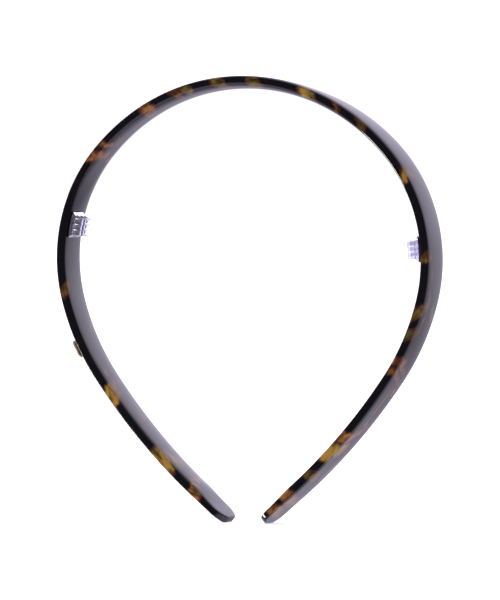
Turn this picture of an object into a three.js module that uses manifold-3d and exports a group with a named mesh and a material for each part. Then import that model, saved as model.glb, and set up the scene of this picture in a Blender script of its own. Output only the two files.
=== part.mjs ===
// One-piece tortoiseshell headband: an open omega-shaped band of polished acetate, a small clear
// grip comb bonded inside each arm, and a plain metal badge standing on two posts.
// Millimetres. +Z up through the crown, X from arm to arm, Y across the width of the band.
// The origin is centred under the band, level with its lowest point.

import * as THREE from 'three';
import { mergeVertices } from 'three/addons/utils/BufferGeometryUtils.js';
import Module from 'manifold-3d';

const wasm = await Module();
wasm.setup();

// ---- Driving dimensions -------------------------------------------------------------------

// Half outline of the band's middle surface, from the top of the crown down one arm:
// tangent arcs, each with its radius and the angle it turns through, then a straight end.
const OUTLINE = [
  { radius: 71, turn: 48.5 }, // crown
  { radius: 53, turn: 56.5 }, // shoulder, down past the widest point
  { radius: 79, turn: 20.5 }, // side, closing in behind the ear
  { radius: 206, turn: 13.5 }, // leg
];
const STRAIGHT_END = 18.2;

const BAND_WIDTH = 12.4; // across, along Y

// The band's section has a flat at each long edge, and two faces between the flats. A face
// starts at a height over the middle surface, turns through a tumbled rim, and swells towards
// its middle by a camber shaped like half an ellipse.
const OUTER_FACE = { edge: 0.9, rim: 0.45, camber: 0.5 };
const INNER_FACE_CROWN = { edge: 0.15, rim: 0.4, camber: 2.3 };
const INNER_FACE_ARM = { edge: 0.95, rim: 0.45, camber: 0.7 };
const TIP_FACE = { edge: 0.85, rim: 0.4, camber: 0.1 }; // both faces at the tips
const RIM_FULLNESS = 14; // how tightly a rim turns; more is tighter
const TIP_BLEND = 11; // length over which an arm's section turns into the tip's
const TIP_CORNER = 5.6; // plan radius of the two corners of each tip
const TIP_NOSE = 0.9; // rounding of the tip as seen from the side

// Grip combs. Places are distances along the middle surface from the top of the crown;
// the left arm, at -X, counts downwards from zero.
const LEFT_COMB_AT = -87;
const RIGHT_COMB_AT = 94.5;
const COMB_OFFSET = -2.0; // towards the front edge
const COMB_LENGTH = 9.2; // along the band, at the bonded side
const COMB_TOP_LENGTH = 7.2; // along the band, on top of the base
const COMB_WIDTH = 6.8; // across the band
const COMB_BASE = 1.35; // base thickness
const TEETH_ALONG = 4;
const TEETH_ALONG_PITCH = 2.05;
const TEETH_ACROSS = 3;
const TEETH_ACROSS_PITCH = 2.4;
const TOOTH_HEIGHT = 3.2;
const TOOTH_ROOT_RADIUS = 0.75;
const TOOTH_TIP_RADIUS = 0.28;
const TOOTH_LEAN = 0.9; // how far the tips lean towards the front edge
const WEB_THICKNESS = 0.7; // web joining the teeth of one row
const WEB_HEIGHTS = [2.9, 2.6, 2.2]; // one per row, from the front

// Bond between comb and band.
const BOND_GAP = 0.1; // clearance on each side of the film
const BOND_THICKNESS = 0.2;
const BOND_INSET = 0.5; // how far the film stays back from the comb's outline

// Badge on the outside of the left arm.
const BADGE_AT = -129;
const BADGE_LENGTH = 6.2; // along the band
const BADGE_WIDTH = 8.4; // across the band
const BADGE_THICKNESS = 0.8;
const BADGE_CORNER = 1.2;
const BADGE_BEVEL = 0.2;
const BADGE_UNDERSIDE = 2.8; // height of the badge's underside over the middle surface
const POST_RADIUS = 0.6;
const POST_PITCH = 3.6;
const POST_DEPTH = 1.4; // length of post inside the band
const POST_CLEARANCE = 0.3;
const POST_SEAT = 0.05; // joint between a post and the badge

// Facet sizes.
const STATION_TURN = 4.2; // largest turn between stations, in degrees
const STATION_LENGTH = 9; // largest distance between stations
const END_STATIONS = [15, 30, 45, 60, 74, 85]; // degrees round the corners of the tips
const OUTER_FACE_STEPS = [90, 80, 70, 56, 35, 0]; // degrees round half an outer face, edge to middle
const INNER_FACE_STEPS = [90, 80, 70, 56, 40, 20, 0]; // and round half an inner face
const TOOTH_SIDES = 10;
const POST_SIDES = 20;

// ---- Outline ------------------------------------------------------------------------------

const radians = THREE.MathUtils.degToRad;
const HALF_WIDTH = BAND_WIDTH / 2;
const HALF_LENGTH = OUTLINE.reduce((sum, arc) => sum + arc.radius * radians(arc.turn), STRAIGHT_END);

// Point and heading on the half outline at a distance from the top of the crown.
// The heading is the angle below horizontal in which the outline runs.
function halfOutline(distance) {
  const point = new THREE.Vector2(0, 0);
  let heading = 0;
  let left = distance;
  for (const { radius, turn } of OUTLINE) {
    const angle = Math.min(left / radius, radians(turn));
    point.x += radius * (Math.sin(heading + angle) - Math.sin(heading));
    point.y += radius * (Math.cos(heading + angle) - Math.cos(heading));
    heading += angle;
    left -= radius * angle;
    if (left < 1e-9) return { point, heading };
  }
  point.x += left * Math.cos(heading);
  point.y -= left * Math.sin(heading);
  return { point, heading };
}

// Point in space at a place along the band, across it, and out from its middle surface.
function bandPoint(along, across, out) {
  const side = along < 0 ? -1 : 1;
  const { point, heading } = halfOutline(Math.abs(along));
  const x = side * (point.x + out * Math.sin(heading));
  return new THREE.Vector3(x, across, point.y + out * Math.cos(heading));
}

function mixFaces(a, b, share) {
  const mix = (key) => THREE.MathUtils.lerp(a[key], b[key], share);
  return { edge: mix('edge'), rim: mix('rim'), camber: mix('camber') };
}

// Face of the band at a place: the inner face is fullest at the crown and fades towards the
// widest point, and both faces turn into the tip's at the ends.
function faceAt(along, inner) {
  const distance = Math.abs(along);
  const { heading } = halfOutline(distance);
  const crown = heading < Math.PI / 2 ? Math.cos(heading) ** 2 : 0;
  const face = inner ? mixFaces(INNER_FACE_ARM, INNER_FACE_CROWN, crown) : OUTER_FACE;
  const tipStart = HALF_LENGTH - TIP_CORNER - TIP_BLEND;
  return mixFaces(face, TIP_FACE, THREE.MathUtils.smoothstep(distance, tipStart, tipStart + TIP_BLEND));
}

// Height of a face at a share of the half width, 0 in the middle and 1 at the edge.
function faceHeight({ edge, rim, camber }, share) {
  const curve = (fullness) => Math.sqrt(Math.max(0, 1 - Math.abs(share) ** fullness));
  return edge + rim * curve(RIM_FULLNESS) + camber * curve(2);
}

// Point at a height above the inner face, towards the head.
function innerPoint(along, across, height) {
  const face = faceHeight(faceAt(along, true), across / HALF_WIDTH);
  return bandPoint(along, across, -face - height);
}

// ---- Solids -------------------------------------------------------------------------------

// Closed position-only geometry without collapsed triangles.
function closed(geometry) {
  const bare = new THREE.BufferGeometry();
  bare.setAttribute('position', geometry.getAttribute('position').clone());
  if (geometry.index) bare.setIndex(geometry.index.clone());
  const merged = mergeVertices(bare, 1e-4);
  const corners = merged.index.array;
  const kept = [];
  for (let i = 0; i < corners.length; i += 3) {
    const [a, b, c] = [corners[i], corners[i + 1], corners[i + 2]];
    if (a !== b && b !== c && c !== a) kept.push(a, b, c);
  }
  merged.setIndex(kept);
  return merged;
}

function toSolid(geometry) {
  const merged = closed(geometry);
  return new wasm.Manifold(new wasm.Mesh({
    numProp: 3,
    vertProperties: new Float32Array(merged.getAttribute('position').array),
    triVerts: new Uint32Array(merged.index.array),
  }));
}

function toGeometry(solid) {
  const mesh = solid.getMesh();
  const geometry = new THREE.BufferGeometry();
  geometry.setAttribute('position', new THREE.BufferAttribute(new Float32Array(mesh.vertProperties), 3));
  geometry.setIndex([...mesh.triVerts]);
  return geometry;
}

// Moves every vertex of a geometry through a function of its coordinates.
function reshape(geometry, place) {
  const position = geometry.getAttribute('position');
  for (let i = 0; i < position.count; i += 1) {
    const moved = place(position.getX(i), position.getY(i), position.getZ(i));
    position.setXYZ(i, moved.x, moved.y, moved.z);
  }
  return geometry;
}

// ---- Band ---------------------------------------------------------------------------------

// The band's section as [across, out] pairs, once round: the outer face from the +Y edge to the
// -Y edge, then the inner face back again.
function section({ along, halfWidth, nose }) {
  const points = [];
  const addFace = (inner, steps) => {
    const face = faceAt(along, inner);
    const out = inner ? -1 : 1;
    const add = (side, degrees) => {
      const share = Math.sin(radians(degrees));
      points.push([out * side * share * halfWidth, out * faceHeight(face, share) * nose]);
    };
    steps.forEach((degrees) => add(1, degrees));
    steps.slice(0, -1).reverse().forEach((degrees) => add(-1, degrees));
  };
  addFace(false, OUTER_FACE_STEPS);
  addFace(true, INNER_FACE_STEPS);
  return points;
}

// Places along one arm where a section stands, with the half width there and the share of its
// thickness left by the rounded nose. The last ones go round the corners of the tip.
function armStations() {
  const stations = [];
  let start = 0;
  const cornerCentre = HALF_LENGTH - TIP_CORNER;
  const stretches = OUTLINE.map(({ radius, turn }) => ({ length: radius * radians(turn), turn }));
  stretches.push({ length: STRAIGHT_END - TIP_CORNER, turn: 0 });
  for (const { length, turn } of stretches) {
    const count = Math.ceil(Math.max(turn / STATION_TURN, length / STATION_LENGTH));
    for (let i = 1; i <= count; i += 1) {
      stations.push({ along: start + (length * i) / count, halfWidth: HALF_WIDTH, nose: 1 });
    }
    start += length;
  }
  for (const degrees of END_STATIONS) {
    const angle = radians(degrees);
    const along = cornerCentre + TIP_CORNER * Math.sin(angle);
    const halfWidth = HALF_WIDTH - TIP_CORNER * (1 - Math.cos(angle));
    const fromEnd = Math.min(1, (HALF_LENGTH - along) / TIP_NOSE);
    stations.push({ along, halfWidth, nose: Math.sqrt(1 - (1 - fromEnd) ** 2) });
  }
  return stations;
}

function bandGeometry() {
  const arm = armStations();
  const otherArm = arm.map((station) => ({ ...station, along: -station.along })).reverse();
  const stations = [...otherArm, { along: 0, halfWidth: HALF_WIDTH, nose: 1 }, ...arm];
  const positions = [];
  for (const station of stations) {
    for (const [across, out] of section(station)) {
      positions.push(...bandPoint(station.along, across, out).toArray());
    }
  }
  const round = positions.length / 3 / stations.length;
  const triangles = [];
  for (let i = 0; i + 1 < stations.length; i += 1) {
    for (let j = 0; j < round; j += 1) {
      const here = i * round + j;
      const beside = i * round + ((j + 1) % round);
      triangles.push(here, beside, beside + round, here, beside + round, here + round);
    }
  }
  const last = (stations.length - 1) * round;
  for (let j = 1; j + 1 < round; j += 1) {
    triangles.push(0, j + 1, j, last, last + j, last + j + 1);
  }
  const geometry = new THREE.BufferGeometry();
  geometry.setAttribute('position', new THREE.Float32BufferAttribute(positions, 3));
  geometry.setIndex(triangles);
  return geometry;
}

// ---- Grip combs ---------------------------------------------------------------------------

const EMBED = 0.4; // how far teeth and webs run into the base they are moulded with
const COMB_STANDOFF = 2 * BOND_GAP + BOND_THICKNESS;

// One tooth: a slim cone with a rounded tip, upright on the base.
function toothGeometry() {
  const shoulder = TOOTH_HEIGHT - TOOTH_TIP_RADIUS;
  const slope = radians(45);
  const profile = [
    new THREE.Vector2(0, -EMBED),
    new THREE.Vector2(TOOTH_ROOT_RADIUS, -EMBED),
    new THREE.Vector2(TOOTH_ROOT_RADIUS, 0),
    new THREE.Vector2(TOOTH_TIP_RADIUS, shoulder),
    new THREE.Vector2(TOOTH_TIP_RADIUS * Math.cos(slope), shoulder + TOOTH_TIP_RADIUS * Math.sin(slope)),
    new THREE.Vector2(0, TOOTH_HEIGHT),
  ];
  return new THREE.LatheGeometry(profile, TOOTH_SIDES).rotateX(Math.PI / 2);
}

// Places a geometry that was built flat on the comb's underside, x along the band and z towards
// the head, on the inside of the band.
function onInnerFace(geometry, at, height) {
  const place = (x, y, z) => {
    const lean = TOOTH_LEAN * Math.max(0, (z - COMB_BASE) / TOOTH_HEIGHT);
    return innerPoint(at - x, COMB_OFFSET + y - lean, z + height);
  };
  return reshape(geometry, place);
}

function combGeometry(at) {
  const base = new THREE.BoxGeometry(COMB_LENGTH, COMB_WIDTH, COMB_BASE, 4, 3, 1);
  base.translate(0, 0, COMB_BASE / 2);
  const taper = 1 - COMB_TOP_LENGTH / COMB_LENGTH;
  reshape(base, (x, y, z) => new THREE.Vector3(x * (1 - (taper * z) / COMB_BASE), y, z));
  let comb = toSolid(onInnerFace(base, at, COMB_STANDOFF));

  const webLength = (TEETH_ALONG - 1) * TEETH_ALONG_PITCH;
  for (let row = 0; row < TEETH_ACROSS; row += 1) {
    const across = (row - (TEETH_ACROSS - 1) / 2) * TEETH_ACROSS_PITCH;
    const webHeight = WEB_HEIGHTS[row];
    const web = new THREE.BoxGeometry(webLength, WEB_THICKNESS, webHeight + EMBED, 3, 1, 1);
    web.translate(0, across, COMB_BASE + (webHeight - EMBED) / 2);
    comb = comb.add(toSolid(onInnerFace(web, at, COMB_STANDOFF)));
    for (let place = 0; place < TEETH_ALONG; place += 1) {
      const along = (place - (TEETH_ALONG - 1) / 2) * TEETH_ALONG_PITCH;
      const tooth = toothGeometry().translate(along, across, COMB_BASE);
      comb = comb.add(toSolid(onInnerFace(tooth, at, COMB_STANDOFF)));
    }
  }
  return toGeometry(comb);
}

function bondGeometry(at) {
  const length = COMB_LENGTH - 2 * BOND_INSET;
  const width = COMB_WIDTH - 2 * BOND_INSET;
  const film = new THREE.BoxGeometry(length, width, BOND_THICKNESS, 4, 3, 1);
  film.translate(0, 0, BOND_THICKNESS / 2);
  return onInnerFace(film, at, BOND_GAP);
}

// ---- Badge --------------------------------------------------------------------------------

// Frame on the band's middle surface: x along the band, y across it, z out of it.
function bandFrame(at) {
  const origin = bandPoint(at, 0, 0);
  const out = bandPoint(at, 0, 1).sub(origin);
  const across = new THREE.Vector3(0, 1, 0);
  const along = new THREE.Vector3().crossVectors(across, out);
  return new THREE.Matrix4().makeBasis(along, across, out).setPosition(origin);
}

function badgeGeometry() {
  const x = BADGE_LENGTH / 2;
  const y = BADGE_WIDTH / 2;
  const r = BADGE_CORNER;
  const outline = new THREE.Shape();
  outline.moveTo(x, y - r);
  outline.absarc(x - r, y - r, r, 0, Math.PI / 2);
  outline.absarc(r - x, y - r, r, Math.PI / 2, Math.PI);
  outline.absarc(r - x, r - y, r, Math.PI, 1.5 * Math.PI);
  outline.absarc(x - r, r - y, r, 1.5 * Math.PI, 2 * Math.PI);
  const plate = new THREE.ExtrudeGeometry(outline, {
    depth: BADGE_THICKNESS - 2 * BADGE_BEVEL,
    bevelThickness: BADGE_BEVEL,
    bevelSize: BADGE_BEVEL,
    bevelOffset: -BADGE_BEVEL,
    bevelSegments: 2,
    curveSegments: 6,
  });
  return plate.translate(0, 0, BADGE_UNDERSIDE + BADGE_BEVEL);
}

// Upright cylinder between two heights over the band's middle surface.
function upright(radius, low, high, along) {
  const shaft = new THREE.CylinderGeometry(radius, radius, high - low, POST_SIDES);
  return shaft.rotateX(Math.PI / 2).translate(along, 0, (low + high) / 2);
}

const POST_PLACES = { upper: POST_PITCH / 2, lower: -POST_PITCH / 2 };
const POST_FOOT = faceHeight(OUTER_FACE, 0) - POST_DEPTH;
const POST_HEAD = BADGE_UNDERSIDE - POST_SEAT;

function postHole(along) {
  const radius = POST_RADIUS + POST_CLEARANCE;
  return upright(radius, POST_FOOT - POST_CLEARANCE, POST_HEAD, along);
}

// ---- Assembly -----------------------------------------------------------------------------

const acetate = new THREE.MeshStandardMaterial({ color: 0x2a1a12, roughness: 0.12, metalness: 0 });
const clearPlastic = new THREE.MeshStandardMaterial({
  color: 0xe8e6f4, roughness: 0.08, metalness: 0, transparent: true, opacity: 0.45,
});
const adhesive = new THREE.MeshStandardMaterial({ color: 0xf2f0e6, roughness: 0.3, metalness: 0 });
const gildedMetal = new THREE.MeshStandardMaterial({ color: 0xd2b98c, roughness: 0.15, metalness: 1 });

const headband = new THREE.Group();

function addPiece(name, geometry, material, parent = headband) {
  const piece = new THREE.Mesh(closed(geometry), material);
  piece.name = name;
  parent.add(piece);
}

const badgePlace = bandFrame(BADGE_AT);
let band = toSolid(bandGeometry());
for (const along of Object.values(POST_PLACES)) {
  band = band.subtract(toSolid(postHole(along).applyMatrix4(badgePlace)));
}
addPiece('band', toGeometry(band), acetate);

for (const [side, at] of [['left', LEFT_COMB_AT], ['right', RIGHT_COMB_AT]]) {
  addPiece(`${side}_comb`, combGeometry(at), clearPlastic);
  addPiece(`${side}_comb_bond`, bondGeometry(at), adhesive);
}

const badge = new THREE.Group();
badge.applyMatrix4(badgePlace);
headband.add(badge);
addPiece('badge', badgeGeometry(), gildedMetal, badge);
for (const [name, along] of Object.entries(POST_PLACES)) {
  addPiece(`badge_post_${name}`, upright(POST_RADIUS, POST_FOOT, POST_HEAD, along), gildedMetal, badge);
}

// Stand the band on Z = 0.
headband.position.z = -new THREE.Box3().setFromObject(headband.children[0]).min.z;

export default headband;
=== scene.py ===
# Looks for a tortoiseshell headband with two clear grip combs and a metal badge.
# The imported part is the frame. Lengths are millimetres in the object's own coordinates
# (along the band from the crown, across it, out of it) until place() turns them into metres.
import math

import bmesh
import bpy
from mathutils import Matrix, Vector
from mathutils.noise import noise_vector, seed_set


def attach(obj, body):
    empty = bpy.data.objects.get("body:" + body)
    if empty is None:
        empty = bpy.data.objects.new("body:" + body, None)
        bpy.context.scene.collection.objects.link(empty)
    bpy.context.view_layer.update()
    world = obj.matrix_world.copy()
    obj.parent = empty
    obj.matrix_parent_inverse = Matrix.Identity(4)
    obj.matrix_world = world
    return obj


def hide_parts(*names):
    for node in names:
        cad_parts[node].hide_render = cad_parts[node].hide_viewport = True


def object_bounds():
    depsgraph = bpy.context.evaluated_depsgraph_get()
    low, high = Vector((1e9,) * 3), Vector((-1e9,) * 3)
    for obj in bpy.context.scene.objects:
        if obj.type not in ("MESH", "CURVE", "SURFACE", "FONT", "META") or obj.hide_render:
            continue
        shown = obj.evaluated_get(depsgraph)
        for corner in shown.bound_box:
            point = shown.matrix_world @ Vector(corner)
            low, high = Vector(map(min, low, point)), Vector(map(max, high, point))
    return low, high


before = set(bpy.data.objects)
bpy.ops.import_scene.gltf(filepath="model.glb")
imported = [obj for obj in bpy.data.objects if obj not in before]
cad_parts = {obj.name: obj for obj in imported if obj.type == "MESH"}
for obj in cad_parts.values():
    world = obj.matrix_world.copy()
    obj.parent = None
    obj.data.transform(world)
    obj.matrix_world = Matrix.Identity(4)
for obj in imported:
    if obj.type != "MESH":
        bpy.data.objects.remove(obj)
cad_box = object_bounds()

MM = 0.001

# ---- Dimensions, the same as the CAD part's ------------------------------------------------

OUTLINE = ((71, 48.5), (53, 56.5), (79, 20.5), (206, 13.5))  # radius and turn of each arc
STRAIGHT_END = 18.2
BAND_WIDTH = 12.4
# Faces of the section: height over the middle surface at the edge, rise of the tumbled rim,
# and camber of the rest.
OUTER_FACE = (0.9, 0.45, 0.5)
INNER_FACE_CROWN = (0.15, 0.4, 2.3)
INNER_FACE_ARM = (0.95, 0.45, 0.7)
TIP_FACE = (0.85, 0.4, 0.1)
RIM_FULLNESS = 14
TIP_BLEND = 11
TIP_CORNER = 5.6
TIP_NOSE = 0.9

COMB_PLACES = {"left": -87, "right": 94.5}
COMB_OFFSET = -2.0
COMB_LENGTH = 9.2
COMB_TOP_LENGTH = 7.2
COMB_WIDTH = 6.8
COMB_BASE = 1.35
TEETH_ALONG = 4
TEETH_ALONG_PITCH = 2.05
TEETH_ACROSS = 3
TEETH_ACROSS_PITCH = 2.4
TOOTH_HEIGHT = 3.2
TOOTH_ROOT_RADIUS = 0.75
TOOTH_TIP_RADIUS = 0.28
TOOTH_LEAN = 0.9
WEB_THICKNESS = 0.7
WEB_HEIGHTS = (2.9, 2.6, 2.2)  # one per row, from the front
COMB_STANDOFF = 0.4
BOND_INSET = 0.5

BADGE_AT = -129
BADGE_LENGTH = 6.2
BADGE_WIDTH = 8.4
BADGE_THICKNESS = 0.8
BADGE_CORNER = 1.2
BADGE_UNDERSIDE = 2.8
POST_RADIUS = 0.6
POST_PITCH = 3.6
POST_DEPTH = 1.4

HALF_WIDTH = BAND_WIDTH / 2
HALF_LENGTH = sum(r * math.radians(turn) for r, turn in OUTLINE) + STRAIGHT_END
OUTER_MIDDLE = sum(OUTER_FACE)
CROWN_HEIGHT = cad_box[1].z / MM - OUTER_MIDDLE


def half_outline(distance):
    """Point and heading on the half outline at a distance from the top of the crown."""
    x = y = heading = 0.0
    left = distance
    for radius, turn in OUTLINE:
        angle = min(left / radius, math.radians(turn))
        x += radius * (math.sin(heading + angle) - math.sin(heading))
        y += radius * (math.cos(heading + angle) - math.cos(heading))
        heading += angle
        left -= radius * angle
        if left < 1e-9:
            return x, y, heading
    return x + left * math.cos(heading), y - left * math.sin(heading), heading


def place(along, across, out):
    """Point in metres at a place along the band, across it and out of its middle surface."""
    side = -1 if along < 0 else 1
    x, y, heading = half_outline(abs(along))
    x = side * (x + out * math.sin(heading))
    return Vector((x, across, y + out * math.cos(heading) + CROWN_HEIGHT)) * MM


def mix(a, b, share):
    return tuple(x + (y - x) * share for x, y in zip(a, b))


def face_at(along, inner):
    """Edge height, rim and camber of a face at a place along the band."""
    distance = abs(along)
    heading = half_outline(distance)[2]
    crown = math.cos(heading) ** 2 if heading < math.pi / 2 else 0
    face = mix(INNER_FACE_ARM, INNER_FACE_CROWN, crown) if inner else OUTER_FACE
    tip_start = HALF_LENGTH - TIP_CORNER - TIP_BLEND
    return mix(face, TIP_FACE, smooth_step(distance, tip_start, tip_start + TIP_BLEND))


def face_height(face, share):
    """Height of a face at a share of the half width, 0 in the middle and 1 at the edge."""
    edge, rim, camber = face
    near_edge = math.sqrt(max(0.0, 1 - abs(share) ** RIM_FULLNESS))
    return edge + rim * near_edge + camber * math.sqrt(max(0.0, 1 - share * share))


def place_inside(along, across, height):
    """Point in metres at a height above the inner face, towards the head."""
    face = face_height(face_at(along, True), across / HALF_WIDTH)
    return place(along, across, -face - height)


def smooth_step(value, low, high):
    t = min(1.0, max(0.0, (value - low) / (high - low)))
    return t * t * (3 - 2 * t)


def new_piece(name, mesh, materials, nodes):
    """A finished piece on the band's body that stands for CAD nodes."""
    piece = bpy.data.objects.new(name, mesh)
    bpy.context.scene.collection.objects.link(piece)
    mesh.materials.clear()
    for material in materials:
        mesh.materials.append(material)
    mesh.shade_smooth()
    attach(piece, "root")
    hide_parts(*nodes)
    return piece


def join_rings(bm, rings):
    """Faces between rings of vertices, and a cap on each end, which it returns."""
    for ring, above in zip(rings, rings[1:]):
        for i in range(len(ring)):
            k = (i + 1) % len(ring)
            bm.faces.new((ring[i], ring[k], above[k], above[i]))
    return [bm.faces.new(list(reversed(rings[0]))), bm.faces.new(rings[-1])]


def mesh_from(bm, name):
    mesh = bpy.data.meshes.new(name)
    bm.to_mesh(mesh)
    bm.free()
    return mesh


# ---- Node helpers --------------------------------------------------------------------------


def node(tree, kind, inputs=None, **settings):
    """Adds a node, sets its properties, and sets or links its inputs."""
    made = tree.nodes.new(kind)
    for name, value in settings.items():
        setattr(made, name, value)
    for name, value in (inputs or {}).items():
        if isinstance(value, bpy.types.NodeSocket):
            tree.links.new(value, made.inputs[name])
        else:
            made.inputs[name].default_value = value
    return made


def maths(tree, operation, a, b=0.0, c=0.0):
    inputs = {0: a, 1: b}
    if operation == "MULTIPLY_ADD":
        inputs[2] = c
    return node(tree, "ShaderNodeMath", inputs, operation=operation).outputs[0]


def remap(tree, value, low, high, to_low=0.0, to_high=1.0, smooth=True):
    inputs = {"Value": value, 1: low, 2: high, 3: to_low, 4: to_high}
    kind = "SMOOTHSTEP" if smooth else "LINEAR"
    return node(tree, "ShaderNodeMapRange", inputs, interpolation_type=kind).outputs[0]


def blend(tree, factor, a, b):
    made = node(tree, "ShaderNodeMix", data_type="RGBA")
    for index, value in ((0, factor), (6, a), (7, b)):
        if isinstance(value, bpy.types.NodeSocket):
            tree.links.new(value, made.inputs[index])
        else:
            made.inputs[index].default_value = value
    return made.outputs[2]


def noise(tree, vector, scale, detail=2.0, roughness=0.5, distortion=0.0):
    inputs = {
        "Vector": vector,
        "Scale": scale,
        "Detail": detail,
        "Roughness": roughness,
        "Distortion": distortion,
    }
    return node(tree, "ShaderNodeTexNoise", inputs)


def bump(tree, height, distance):
    inputs = {"Height": height, "Distance": distance, "Strength": 1.0}
    return node(tree, "ShaderNodeBump", inputs).outputs[0]


def new_material(name, settings):
    """A material with one Principled shader, and its tree and shader."""
    material = bpy.data.materials.new(name)
    material.use_nodes = True
    tree = material.node_tree
    shader = next(n for n in tree.nodes if n.type == "BSDF_PRINCIPLED")
    for socket, value in settings.items():
        shader.inputs[socket].default_value = value
    return material, tree, shader


def grey(value):
    return (value, value, value, 1)


# ---- Tortoiseshell acetate -----------------------------------------------------------------

# Coloured clouds that cut through the front edge: place along the band, length, how far they
# run back across the faces, slant of that run, tone from 0 (amber) to 1 (olive), and strength.
# Most of the places, and some lengths, are a measuring program's output, not chosen by hand.
CLOUDS = (
    (-193.6, 4.7, 9.0, 0.5, 0.2, 1.0),
    (-177.9, 10.7, 7.0, -0.6, 0.5, 1.0),
    (-149.8, 6.7, 6.0, 0.4, 0.35, 1.0),
    (-110.0, 3.3, 2.5, 0.2, 0.1, 0.5),
    (-62.0, 3.4, 5.0, 0.4, 0.1, 0.8),
    (-56.4, 2.6, 5.0, 0.4, 0.1, 0.6),
    (-36.4, 5.0, 5.0, -0.4, 0.1, 0.7),
    (-25.0, 3.0, 2.0, 0.3, 0.05, 0.5),
    (-20.6, 3.6, 2.0, 0.3, 0.85, 0.9),
    (-8.4, 4.2, 3.0, 0.4, 0.75, 0.55),
    (4.7, 4.0, 3.0, -0.4, 0.85, 0.6),
    (24.4, 6.0, 4.0, 0.5, 0.7, 0.9),
    (36.1, 1.6, 1.5, 0.0, 0.2, 0.35),
    (46.8, 3.0, 2.5, 0.3, 1.0, 0.4),
    (69.6, 3.6, 5.0, 0.4, 0.55, 0.8),
    (97.6, 3.0, 2.5, 0.2, 0.75, 0.75),
    (116.0, 4.2, 4.0, -0.5, 0.65, 0.8),
    (123.1, 3.4, 3.0, 0.3, 1.0, 0.6),
    (133.6, 3.0, 8.0, 0.6, 0.05, 0.8),
    (137.6, 2.6, 8.0, 0.6, 0.1, 0.7),
    (165.6, 4.6, 9.0, -0.5, 0.05, 0.9),
    (172.4, 7.4, 6.0, -0.5, 0.5, 1.0),
    (182.6, 4.0, 4.0, 0.3, 0.95, 0.8),
    (194.0, 4.6, 9.0, 0.4, 0.1, 0.8),
    (200.4, 4.0, 9.0, 0.4, 0.15, 0.7),
)
# Unseeded, noise_vector gives a different drift each time Blender starts.
DRIFT_SEED = 1
seed_set(DRIFT_SEED)


def cloud_at(along, across, out):
    """How deep inside a cloud a place is, in millimetres, and that cloud's tone and strength."""
    drift = noise_vector(Vector((along, across * 0.7, out)) * 0.28)
    along = along + 1.2 * drift.x + 0.5 * out
    back = across + HALF_WIDTH + 1.0 * drift.y
    best = (-4.0, 0.3, 0.5)
    for centre, length, run, slant, tone, strength in CLOUDS:
        half = length / 2 + 0.4
        aside = (along - centre - slant * max(0.0, back)) / half
        depth = half * (1 - math.hypot(aside, max(0.0, back) / run))
        if depth > best[0]:
            best = (depth, tone, strength)
    return best


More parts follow.
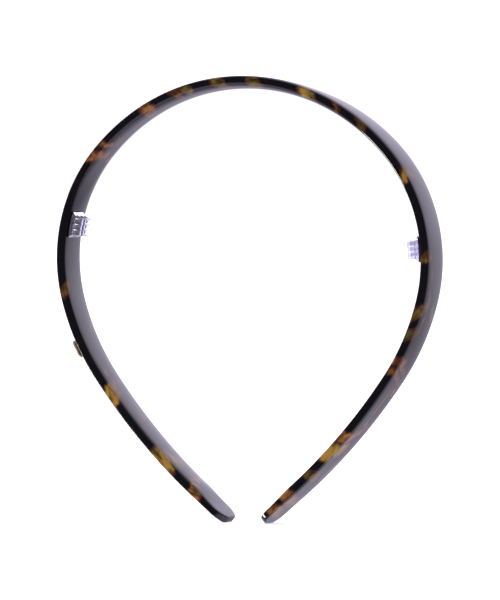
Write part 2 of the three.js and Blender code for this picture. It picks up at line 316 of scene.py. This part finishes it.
def make_acetate():
    material, tree, shader = new_material(
        "tortoiseshell_acetate", {"IOR": 1.5, "Specular IOR Level": 0.5}
    )
    place_on_band = node(tree, "ShaderNodeAttribute", attribute_name="unrolled").outputs["Vector"]
    cloud = node(tree, "ShaderNodeAttribute", attribute_name="cloud").outputs["Fac"]
    tone = node(tree, "ShaderNodeAttribute", attribute_name="tone").outputs["Fac"]
    strength = node(tree, "ShaderNodeAttribute", attribute_name="strength").outputs["Fac"]
    across = node(tree, "ShaderNodeSeparateXYZ", {0: place_on_band}).outputs[1]

    # The sheet's own clouds, slanting across the faces, fading out near the front edge.
    mapped = node(
        tree,
        "ShaderNodeMapping",
        {
            "Vector": place_on_band,
            "Rotation": (0, 0, math.radians(24)),
            "Scale": (0.06, 0.19, 0.3),
        },
    ).outputs[0]
    sheet = noise(tree, mapped, 1.0, 1.5, 0.5, 0.9).outputs["Fac"]
    sheet_depth = remap(tree, sheet, 0.46, 0.78, -4.0, 3.0, smooth=False)
    sheet_depth = maths(tree, "SUBTRACT", sheet_depth, remap(tree, across, -6.0, -3.5, 6.0, 0.0))

    # Streaks drawn out along the band fray the clouds' borders.
    drawn = node(
        tree, "ShaderNodeMapping", {"Vector": place_on_band, "Scale": (0.3, 0.7, 0.7)}
    ).outputs[0]
    wobble = noise(tree, drawn, 1.0, 2.0, 0.5, 0.6).outputs["Fac"]
    frayed = maths(tree, "ADD", cloud, maths(tree, "MULTIPLY_ADD", wobble, 3.2, -1.6))
    depth = maths(tree, "MAXIMUM", frayed, sheet_depth)
    fringe = remap(tree, depth, -0.7, 0.5)
    core = remap(tree, depth, -0.1, 1.5)

    drift = noise(tree, place_on_band, 0.16, 2.0).outputs["Fac"]
    toned = maths(tree, "ADD", tone, maths(tree, "MULTIPLY_ADD", drift, 1.2, -0.6))
    ramp = node(tree, "ShaderNodeValToRGB", {0: toned})
    stops = ramp.color_ramp.elements
    stops[0].position, stops[0].color = 0.0, (0.29, 0.105, 0.030, 1)
    stops[1].position, stops[1].color = 1.0, (0.060, 0.055, 0.012, 1)
    middle = stops.new(0.5)
    middle.color = (0.26, 0.155, 0.024, 1)
    mottle = noise(tree, drawn, 0.8, 2.0, 0.5).outputs["Fac"]
    shade = remap(tree, mottle, 0.34, 0.62, 0.22, 1.25)
    # The clouds are made duller on the faces than on the front edge.
    duller = remap(tree, across, -6.1, -5.0, 1.0, 0.55)
    shade = maths(tree, "MULTIPLY", maths(tree, "MULTIPLY", shade, duller), strength)
    shaded = node(
        tree, "ShaderNodeVectorMath", {0: ramp.outputs[0], 1: shade}, operation="MULTIPLY"
    ).outputs[0]
    smoke = noise(tree, place_on_band, 0.3, 3.0).outputs["Fac"]
    dark = blend(
        tree,
        remap(tree, smoke, 0.5, 0.75),
        (0.0016, 0.0014, 0.0022, 1),
        (0.0050, 0.0028, 0.0022, 1),
    )
    colour = blend(tree, fringe, dark, (0.050, 0.012, 0.005, 1))
    colour = blend(tree, core, colour, shaded)
    tree.links.new(colour, shader.inputs["Base Color"])

    polish = noise(tree, place_on_band, 0.6, 4.0, 0.6).outputs["Fac"]
    gloss = remap(tree, polish, 0.3, 0.7, 0.035, 0.06, smooth=False)
    tree.links.new(gloss, shader.inputs["Roughness"])
    ripple = noise(tree, place_on_band, 0.11, 1.0).outputs["Fac"]
    tree.links.new(bump(tree, ripple, 0.00002), shader.inputs["Normal"])
    return material


# ---- Band ----------------------------------------------------------------------------------

STATION_PITCH = 0.6
TIP_STATIONS = 26
FACE_STEPS = 48
EDGE_STEPS = 3


def spread(low, high, steps):
    return [low + (high - low) * i / steps for i in range(steps + 1)]


def section(along, nose):
    """The band's section once round, as (share of the half width, height out)."""
    points = []
    outer, inner = face_at(along, False), face_at(along, True)
    for angle in spread(math.pi / 2, -math.pi / 2, FACE_STEPS):
        share = math.sin(angle)
        points.append((share, face_height(outer, share) * nose))
    top, bottom = outer[0] * nose, -inner[0] * nose
    flat = spread(top, bottom, EDGE_STEPS)[1:-1]
    points += [(-1.0, height) for height in flat]
    for angle in spread(-math.pi / 2, math.pi / 2, FACE_STEPS):
        share = math.sin(angle)
        points.append((share, -face_height(inner, share) * nose))
    points += [(1.0, height) for height in reversed(flat)]
    return points


def band_stations():
    """Place along the band, half width and share of the thickness, for every ring of vertices."""
    corner = HALF_LENGTH - TIP_CORNER
    count = math.ceil(2 * corner / STATION_PITCH)
    tip = []
    for angle in spread(0, math.radians(89), TIP_STATIONS)[1:]:
        along = corner + TIP_CORNER * math.sin(angle)
        half_width = HALF_WIDTH - TIP_CORNER * (1 - math.cos(angle))
        from_end = min(1.0, (HALF_LENGTH - along) / TIP_NOSE)
        tip.append((along, half_width, math.sqrt(1 - (1 - from_end) ** 2)))
    middle = [(along, HALF_WIDTH, 1.0) for along in spread(-corner, corner, count)]
    return [(-along, width, nose) for along, width, nose in reversed(tip)] + middle + tip


def make_band(material):
    bm = bmesh.new()
    unrolled = bm.verts.layers.float_vector.new("unrolled")
    cloud = bm.verts.layers.float.new("cloud")
    tone = bm.verts.layers.float.new("tone")
    strength = bm.verts.layers.float.new("strength")
    rings = []
    for along, half_width, nose in band_stations():
        ring = []
        for share, out in section(along, nose):
            across = share * half_width
            vertex = bm.verts.new(place(along, across, out))
            vertex[unrolled] = (along, across, out)
            vertex[cloud], vertex[tone], vertex[strength] = cloud_at(along, across, out)
            ring.append(vertex)
        rings.append(ring)
    bmesh.ops.triangulate(bm, faces=join_rings(bm, rings))
    bmesh.ops.recalc_face_normals(bm, faces=bm.faces)
    mesh = mesh_from(bm, "band_shell")
    return new_piece("band_shell", mesh, [material], ["band"])


# ---- Clear plastic and adhesive ------------------------------------------------------------


def make_clear_plastic():
    material, tree, shader = new_material(
        "clear_plastic", {"IOR": 1.49, "Transmission Weight": 0.92}
    )
    where = node(tree, "ShaderNodeTexCoord").outputs["Object"]
    flow = noise(tree, where, 420.0, 2.0, 0.5, 0.6).outputs["Fac"]
    colour = blend(tree, remap(tree, flow, 0.3, 0.7), (0.50, 0.50, 0.62, 1), (0.66, 0.66, 0.78, 1))
    tree.links.new(colour, shader.inputs["Base Color"])
    tree.links.new(remap(tree, flow, 0.3, 0.7, 0.08, 0.18), shader.inputs["Roughness"])
    fine = noise(tree, where, 1600.0, 2.0).outputs["Fac"]
    tree.links.new(bump(tree, fine, 0.00001), shader.inputs["Normal"])
    return material


def make_wetted_face():
    """The face that the adhesive wets, through which the dark acetate shows."""
    material, tree, shader = new_material("wetted_face", {"IOR": 1.45})
    where = node(tree, "ShaderNodeTexCoord").outputs["Object"]
    seen = noise(tree, where, 260.0, 2.0, 0.5, 0.5).outputs["Fac"]
    colour = blend(
        tree, remap(tree, seen, 0.45, 0.65), (0.010, 0.008, 0.010, 1), (0.085, 0.040, 0.028, 1)
    )
    tree.links.new(colour, shader.inputs["Base Color"])
    tree.links.new(remap(tree, seen, 0.3, 0.7, 0.25, 0.5), shader.inputs["Roughness"])
    tree.links.new(bump(tree, seen, 0.00003), shader.inputs["Normal"])
    return material


def make_adhesive():
    material, tree, shader = new_material(
        "clear_adhesive", {"IOR": 1.45, "Transmission Weight": 0.85}
    )
    where = node(tree, "ShaderNodeTexCoord").outputs["Object"]
    cloudy = noise(tree, where, 700.0, 3.0, 0.6).outputs["Fac"]
    colour = blend(
        tree, remap(tree, cloudy, 0.3, 0.7), (0.10, 0.085, 0.085, 1), (0.24, 0.22, 0.22, 1)
    )
    tree.links.new(colour, shader.inputs["Base Color"])
    tree.links.new(remap(tree, cloudy, 0.3, 0.7, 0.15, 0.3), shader.inputs["Roughness"])
    tree.links.new(bump(tree, cloudy, 0.00003), shader.inputs["Normal"])
    return material


# ---- Combs ---------------------------------------------------------------------------------

MOULD_VOXEL = 0.11  # detail size of a moulding
MOULD_SMOOTHING = 4
TOOTH_SIDES = 24
EMBED = 0.4
UNDERSIDE_HEIGHT = 0.12  # faces of a comb below this are wetted by the adhesive


def add_block(bm, length, top_length, width, low, high, across=0.0):
    """A block that may taper along its length towards the top."""
    made = bmesh.ops.create_cube(bm, size=1.0)["verts"]
    for vertex in made:
        up = vertex.co.z + 0.5
        reach = length + (top_length - length) * up
        x = vertex.co.x * reach
        y = vertex.co.y * width + across
        vertex.co = Vector((x, y, low + (high - low) * up))


def add_tooth(bm, along, across):
    """A slim cone with a rounded tip, standing on the comb's base."""
    shoulder = TOOTH_HEIGHT - TOOTH_TIP_RADIUS
    profile = [(TOOTH_ROOT_RADIUS, -EMBED), (TOOTH_ROOT_RADIUS, 0.0)]
    profile += [
        (TOOTH_TIP_RADIUS * math.cos(a), shoulder + TOOTH_TIP_RADIUS * math.sin(a))
        for a in spread(0, math.radians(75), 5)
    ]
    rings = []
    for radius, height in profile:
        ring = []
        for i in range(TOOTH_SIDES):
            a = 2 * math.pi * i / TOOTH_SIDES
            x = along + radius * math.cos(a)
            y = across + radius * math.sin(a)
            ring.append(bm.verts.new((x, y, COMB_BASE + height)))
        rings.append(ring)
    join_rings(bm, rings)


def mould(bm, voxel, smoothing):
    """Fuses overlapping closed shapes into one skin with softened edges, and returns its mesh."""
    blank = bpy.data.objects.new("blank", mesh_from(bm, "rough"))
    bpy.context.scene.collection.objects.link(blank)
    fuse = blank.modifiers.new("fuse", "REMESH")
    fuse.mode = "VOXEL"
    fuse.voxel_size = voxel
    soften = blank.modifiers.new("soften", "SMOOTH")
    soften.factor = 0.5
    soften.iterations = smoothing
    bpy.context.view_layer.update()
    fused = blank.evaluated_get(bpy.context.evaluated_depsgraph_get())
    mesh = bpy.data.meshes.new_from_object(fused)
    bpy.data.objects.remove(blank)
    return mesh


def bend_onto_band(mesh, at, standoff):
    """Takes a mesh made flat, x along the band and z towards the head, to the inner face."""
    for vertex in mesh.vertices:
        x, y, z = vertex.co
        lean = TOOTH_LEAN * max(0.0, (z - COMB_BASE) / TOOTH_HEIGHT)
        vertex.co = place_inside(at - x, COMB_OFFSET + y - lean, z + standoff)
    mesh.flip_normals()


def make_comb(side, materials):
    bm = bmesh.new()
    add_block(bm, COMB_LENGTH, COMB_TOP_LENGTH, COMB_WIDTH, 0.0, COMB_BASE)
    for row in range(TEETH_ACROSS):
        across = (row - (TEETH_ACROSS - 1) / 2) * TEETH_ACROSS_PITCH
        web_length = (TEETH_ALONG - 1) * TEETH_ALONG_PITCH
        web_top = COMB_BASE + WEB_HEIGHTS[row]
        add_block(bm, web_length, web_length, WEB_THICKNESS, COMB_BASE - EMBED, web_top, across)
        for step in range(TEETH_ALONG):
            add_tooth(bm, (step - (TEETH_ALONG - 1) / 2) * TEETH_ALONG_PITCH, across)
    mesh = mould(bm, MOULD_VOXEL, MOULD_SMOOTHING)
    mesh.name = f"{side}_comb_moulding"
    underside = [polygon.index for polygon in mesh.polygons if polygon.center.z < UNDERSIDE_HEIGHT]
    bend_onto_band(mesh, COMB_PLACES[side], COMB_STANDOFF)
    comb = new_piece(mesh.name, mesh, materials, [f"{side}_comb"])
    for index in underside:
        mesh.polygons[index].material_index = 1
    return comb


BOND_LOW = 0.04
BOND_HIGH = 0.36


def make_bond(side, material):
    """The adhesive film, with a soft uneven rim where it was squeezed out."""
    length = COMB_LENGTH - 2 * BOND_INSET
    width = COMB_WIDTH - 2 * BOND_INSET
    steps = 72
    levels = 6
    rings = []
    bm = bmesh.new()
    for level in range(levels + 1):
        height = BOND_LOW + (BOND_HIGH - BOND_LOW) * level / levels
        bulge = 0.18 * math.sin(math.pi * level / levels)
        ring = []
        for i in range(steps):
            a = 2 * math.pi * i / steps
            uneven = 0.10 * math.sin(3 * a + 1) + 0.06 * math.sin(7 * a + 2)
            c, s = math.cos(a), math.sin(a)
            rounding = (abs(c) ** 6 + abs(s) ** 6) ** (-1 / 6)
            grow = bulge + uneven
            x = (length / 2 + grow) * c * rounding
            y = (width / 2 + grow) * s * rounding
            ring.append(bm.verts.new((x, y, height)))
        rings.append(ring)
    bmesh.ops.triangulate(bm, faces=join_rings(bm, rings))
    mesh = mesh_from(bm, f"{side}_adhesive_film")
    bend_onto_band(mesh, COMB_PLACES[side], 0.0)
    return new_piece(mesh.name, mesh, [material], [f"{side}_comb_bond"])


# ---- Badge ---------------------------------------------------------------------------------


def make_metal():
    material, tree, shader = new_material("champagne_metal", {"Metallic": 0.6})
    where = node(tree, "ShaderNodeTexCoord").outputs["Object"]
    tarnish = noise(tree, where, 500.0, 3.0, 0.6).outputs["Fac"]
    worn = remap(tree, tarnish, 0.3, 0.7)
    colour = blend(tree, worn, (0.78, 0.58, 0.36, 1), (0.86, 0.70, 0.47, 1))
    tree.links.new(colour, shader.inputs["Base Color"])
    tree.links.new(remap(tree, tarnish, 0.3, 0.7, 0.10, 0.2), shader.inputs["Roughness"])
    stretched = node(
        tree, "ShaderNodeMapping", {"Vector": where, "Scale": (400, 6000, 400)}
    ).outputs[0]
    scratches = noise(tree, stretched, 1.0, 3.0, 0.7).outputs["Fac"]
    tree.links.new(bump(tree, scratches, 0.000003), shader.inputs["Normal"])
    return material


BADGE_STEPS = 48
BADGE_DOME = 0.12
DOME_INSET = 1.1  # how far in from the plaque's outline its dome reaches full height


def badge_outline(inset):
    """Rounded rectangle, pulled in by an inset, as points anticlockwise."""
    x = BADGE_LENGTH / 2 - BADGE_CORNER
    y = BADGE_WIDTH / 2 - BADGE_CORNER
    radius = BADGE_CORNER - inset
    points = []
    for quarter, (sx, sy) in enumerate(((1, 1), (-1, 1), (-1, -1), (1, -1))):
        for i in range(BADGE_STEPS // 4 + 1):
            a = math.pi / 2 * (quarter + i / (BADGE_STEPS // 4))
            points.append((sx * x + radius * math.cos(a), sy * y + radius * math.sin(a)))
    return points


def frame_at(along):
    """Origin on the middle surface, and the directions along, across and out, at a place."""
    origin = place(along, 0, 0)
    out = (place(along, 0, 1) - origin).normalized()
    across = Vector((0, 1, 0))
    return origin, across.cross(out), across, out


def set_on_band(mesh, at):
    origin, along, across, out = frame_at(at)
    for vertex in mesh.vertices:
        x, y, z = vertex.co * MM
        vertex.co = origin + along * x + across * y + out * z


def make_badge(material):
    """A plaque with softened edges and a slightly domed front."""
    under = BADGE_UNDERSIDE
    soft = 0.2
    layers = [(1.0, under)]
    layers += [
        (soft * (1 - math.sin(a)), under + soft * (1 - math.cos(a)))
        for a in spread(0, math.pi / 2, 4)
    ]
    top = under + BADGE_THICKNESS - BADGE_DOME
    layers += [
        (soft * (1 - math.cos(a)), top - soft * (1 - math.sin(a)))
        for a in spread(0, math.pi / 2, 4)
    ]
    for inset in (0.4, 0.6, 0.8, 1.0, DOME_INSET):
        layers.append((inset, top + BADGE_DOME * smooth_step(inset, soft, DOME_INSET)))
    bm = bmesh.new()
    rings = []
    for inset, height in layers:
        rings.append([bm.verts.new((x, y, height)) for x, y in badge_outline(inset)])
    bmesh.ops.triangulate(bm, faces=join_rings(bm, rings))
    bmesh.ops.recalc_face_normals(bm, faces=bm.faces)
    mesh = mesh_from(bm, "badge_plaque")
    set_on_band(mesh, BADGE_AT)
    return new_piece("badge_plaque", mesh, [material], ["badge"])


def make_post(name, along, material):
    """A pin with a small flare where it meets the plaque and a chamfered foot sunk into the band.
    """
    foot = OUTER_MIDDLE - POST_DEPTH
    head = BADGE_UNDERSIDE - 0.02
    flare = 0.18
    profile = [(POST_RADIUS - 0.1, foot), (POST_RADIUS, foot + 0.1)]
    profile += [(POST_RADIUS, h) for h in spread(foot + 0.2, head - flare, 6)]
    profile += [
        (POST_RADIUS + flare * (1 - math.cos(a)), head - flare * (1 - math.sin(a)))
        for a in spread(0, math.pi / 2, 5)
    ]
    sides = 40
    bm = bmesh.new()
    rings = []
    for radius, height in profile:
        ring = []
        for i in range(sides):
            a = 2 * math.pi * i / sides
            ring.append(bm.verts.new((along + radius * math.cos(a), radius * math.sin(a), height)))
        rings.append(ring)
    join_rings(bm, rings)
    bmesh.ops.recalc_face_normals(bm, faces=bm.faces)
    mesh = mesh_from(bm, f"badge_pin_{name}")
    set_on_band(mesh, BADGE_AT)
    return new_piece(mesh.name, mesh, [material], [f"badge_post_{name}"])


# ---- The object ----------------------------------------------------------------------------

acetate = make_acetate()
clear_plastic = make_clear_plastic()
adhesive = make_adhesive()
wetted = make_wetted_face()
metal = make_metal()
make_band(acetate)
for side in COMB_PLACES:
    make_comb(side, [clear_plastic, wetted])
    make_bond(side, adhesive)
make_badge(metal)
make_post("upper", POST_PITCH / 2, metal)
make_post("lower", -POST_PITCH / 2, metal)

# ---- Camera --------------------------------------------------------------------------------

AZIMUTH = math.radians(25.06)
ELEVATION = math.radians(1.5)
DISTANCE = 2.8
VIEW_HEIGHT = 0.1987  # height of the picture at the object, in metres
SENSOR = 36.0
AIM = Vector((0.0, 0.0, 0.074))
AIM_RIGHT = 0.0006
AIM_UP = -0.0002

back = Vector(
    (
        math.sin(AZIMUTH) * math.cos(ELEVATION),
        -math.cos(AZIMUTH) * math.cos(ELEVATION),
        math.sin(ELEVATION),
    )
)
right = Vector((math.cos(AZIMUTH), math.sin(AZIMUTH), 0))
aim = AIM + right * AIM_RIGHT + back.cross(right) * AIM_UP
lens = bpy.data.cameras.new("camera")
lens.sensor_width = SENSOR
lens.lens = SENSOR * DISTANCE / VIEW_HEIGHT
lens.clip_start = 0.1
lens.clip_end = 20
camera = bpy.data.objects.new("camera", lens)
camera.location = aim + back * DISTANCE
camera.rotation_mode = "QUATERNION"
camera.rotation_quaternion = (-back).to_track_quat("-Z", "Y")
bpy.context.scene.collection.objects.link(camera)
bpy.context.scene.camera = camera

# ---- Studio --------------------------------------------------------------------------------

bpy.context.scene.view_settings.view_transform = "Standard"

world = bpy.data.worlds.new("studio")
bpy.context.scene.world = world
world.use_nodes = True
sky = world.node_tree
sky.nodes.clear()
toward = node(sky, "ShaderNodeTexCoord").outputs["Generated"]
split = node(sky, "ShaderNodeSeparateXYZ", {0: toward})
# Behind the object stand a bright backdrop and, between it and the bright table, a dimmer gap.
# In front, the room round the camera is dark.
BACKDROP_STRENGTH = 1.32
GLOW_STRENGTH = 2.2
STUDIO_TINT = (1.03, 0.965, 1.20)
PAPER_WHITE = (1.05, 1.05, 1.05, 1)
heights = remap(sky, split.outputs[2], -1, 1, smooth=False)


def ramp_of_heights(stops):
    """Brightness against height, from straight down at 0 to straight up at 1."""
    made = node(sky, "ShaderNodeValToRGB", {0: heights})
    elements = made.color_ramp.elements
    elements[0].position, elements[0].color = stops[0][0], grey(stops[0][1])
    elements[1].position, elements[1].color = stops[-1][0], grey(stops[-1][1])
    for position, value in stops[1:-1]:
        elements.new(position).color = grey(value)
    return made.outputs[0]


backdrop = ramp_of_heights(
    ((0.22, 0.85), (0.28, 0.6), (0.32, 0.5), (0.43, 0.9), (0.5, 1.0), (0.6, 1.25), (1.0, 1.1))
)
room = ramp_of_heights(((0.16, 0.85), (0.28, 0.08), (0.72, 0.08), (0.95, 0.5)))
rearward = remap(sky, split.outputs[1], -0.15, 0.5)
level = node(
    sky, "ShaderNodeMix", {0: rearward, 2: room, 3: backdrop}, data_type="FLOAT"
).outputs[0]
# The backdrop is brightest low down, left of the middle.
low = maths(
    sky,
    "MULTIPLY",
    remap(sky, split.outputs[2], -0.02, 0.05),
    remap(sky, split.outputs[2], 0.31, 0.35, 1.0, 0.0),
)
leftward = remap(sky, split.outputs[0], -0.20, -0.08, 1.0, 0.0)
glow = maths(sky, "MULTIPLY", maths(sky, "MULTIPLY", low, leftward), rearward)
glow = maths(sky, "MULTIPLY", glow, GLOW_STRENGTH)
level = maths(sky, "MULTIPLY_ADD", level, BACKDROP_STRENGTH, glow)
seen = node(sky, "ShaderNodeLightPath").outputs["Is Camera Ray"]
tinted = node(
    sky, "ShaderNodeVectorMath", {0: STUDIO_TINT, 1: level}, operation="MULTIPLY"
).outputs[0]
paper = node(
    sky,
    "ShaderNodeBackground",
    {"Color": blend(sky, seen, tinted, PAPER_WHITE)},
)
out = node(sky, "ShaderNodeOutputWorld", {"Surface": paper.outputs[0]})


def area_light(name, direction, distance, size, power, glossy=True, diffuse=1.0):
    """A soft square light that faces the middle of the headband."""
    data = bpy.data.lights.new(name, "AREA")
    data.shape = "SQUARE"
    data.size = size
    data.energy = power
    data.diffuse_factor = diffuse
    light = bpy.data.objects.new(name, data)
    outward = Vector(direction).normalized()
    light.location = AIM + outward * distance
    light.rotation_mode = "QUATERNION"
    light.rotation_quaternion = (-outward).to_track_quat("-Z", "Y")
    light.visible_glossy = glossy
    light.visible_camera = False
    light.visible_transmission = glossy
    bpy.context.scene.collection.objects.link(light)


area_light("left_strip", (-0.88, -0.14, -0.38), 1.2, 0.3, 6.5, diffuse=0.5)
area_light("front_fill", (-0.1, -1.0, 0.35), 1.6, 1.2, 5, glossy=False)

floor_material, floor_tree, floor_shader = new_material(
    "pale_floor", {"Roughness": 0.9, "Emission Strength": 0.55, "Emission Color": grey(1.0)}
)
paper_grain = noise(floor_tree, node(floor_tree, "ShaderNodeTexCoord").outputs["Object"], 30.0)
floor_colour = blend(floor_tree, paper_grain.outputs["Fac"], grey(0.90), grey(0.93))
floor_tree.links.new(floor_colour, floor_shader.inputs["Base Color"])
bm = bmesh.new()
bmesh.ops.create_circle(bm, cap_ends=True, segments=96, radius=8.0)
floor_mesh = mesh_from(bm, "floor")
floor_mesh.materials.append(floor_material)
floor = bpy.data.objects.new("floor", floor_mesh)
bpy.context.scene.collection.objects.link(floor)
floor.visible_glossy = False
floor.visible_shadow = False
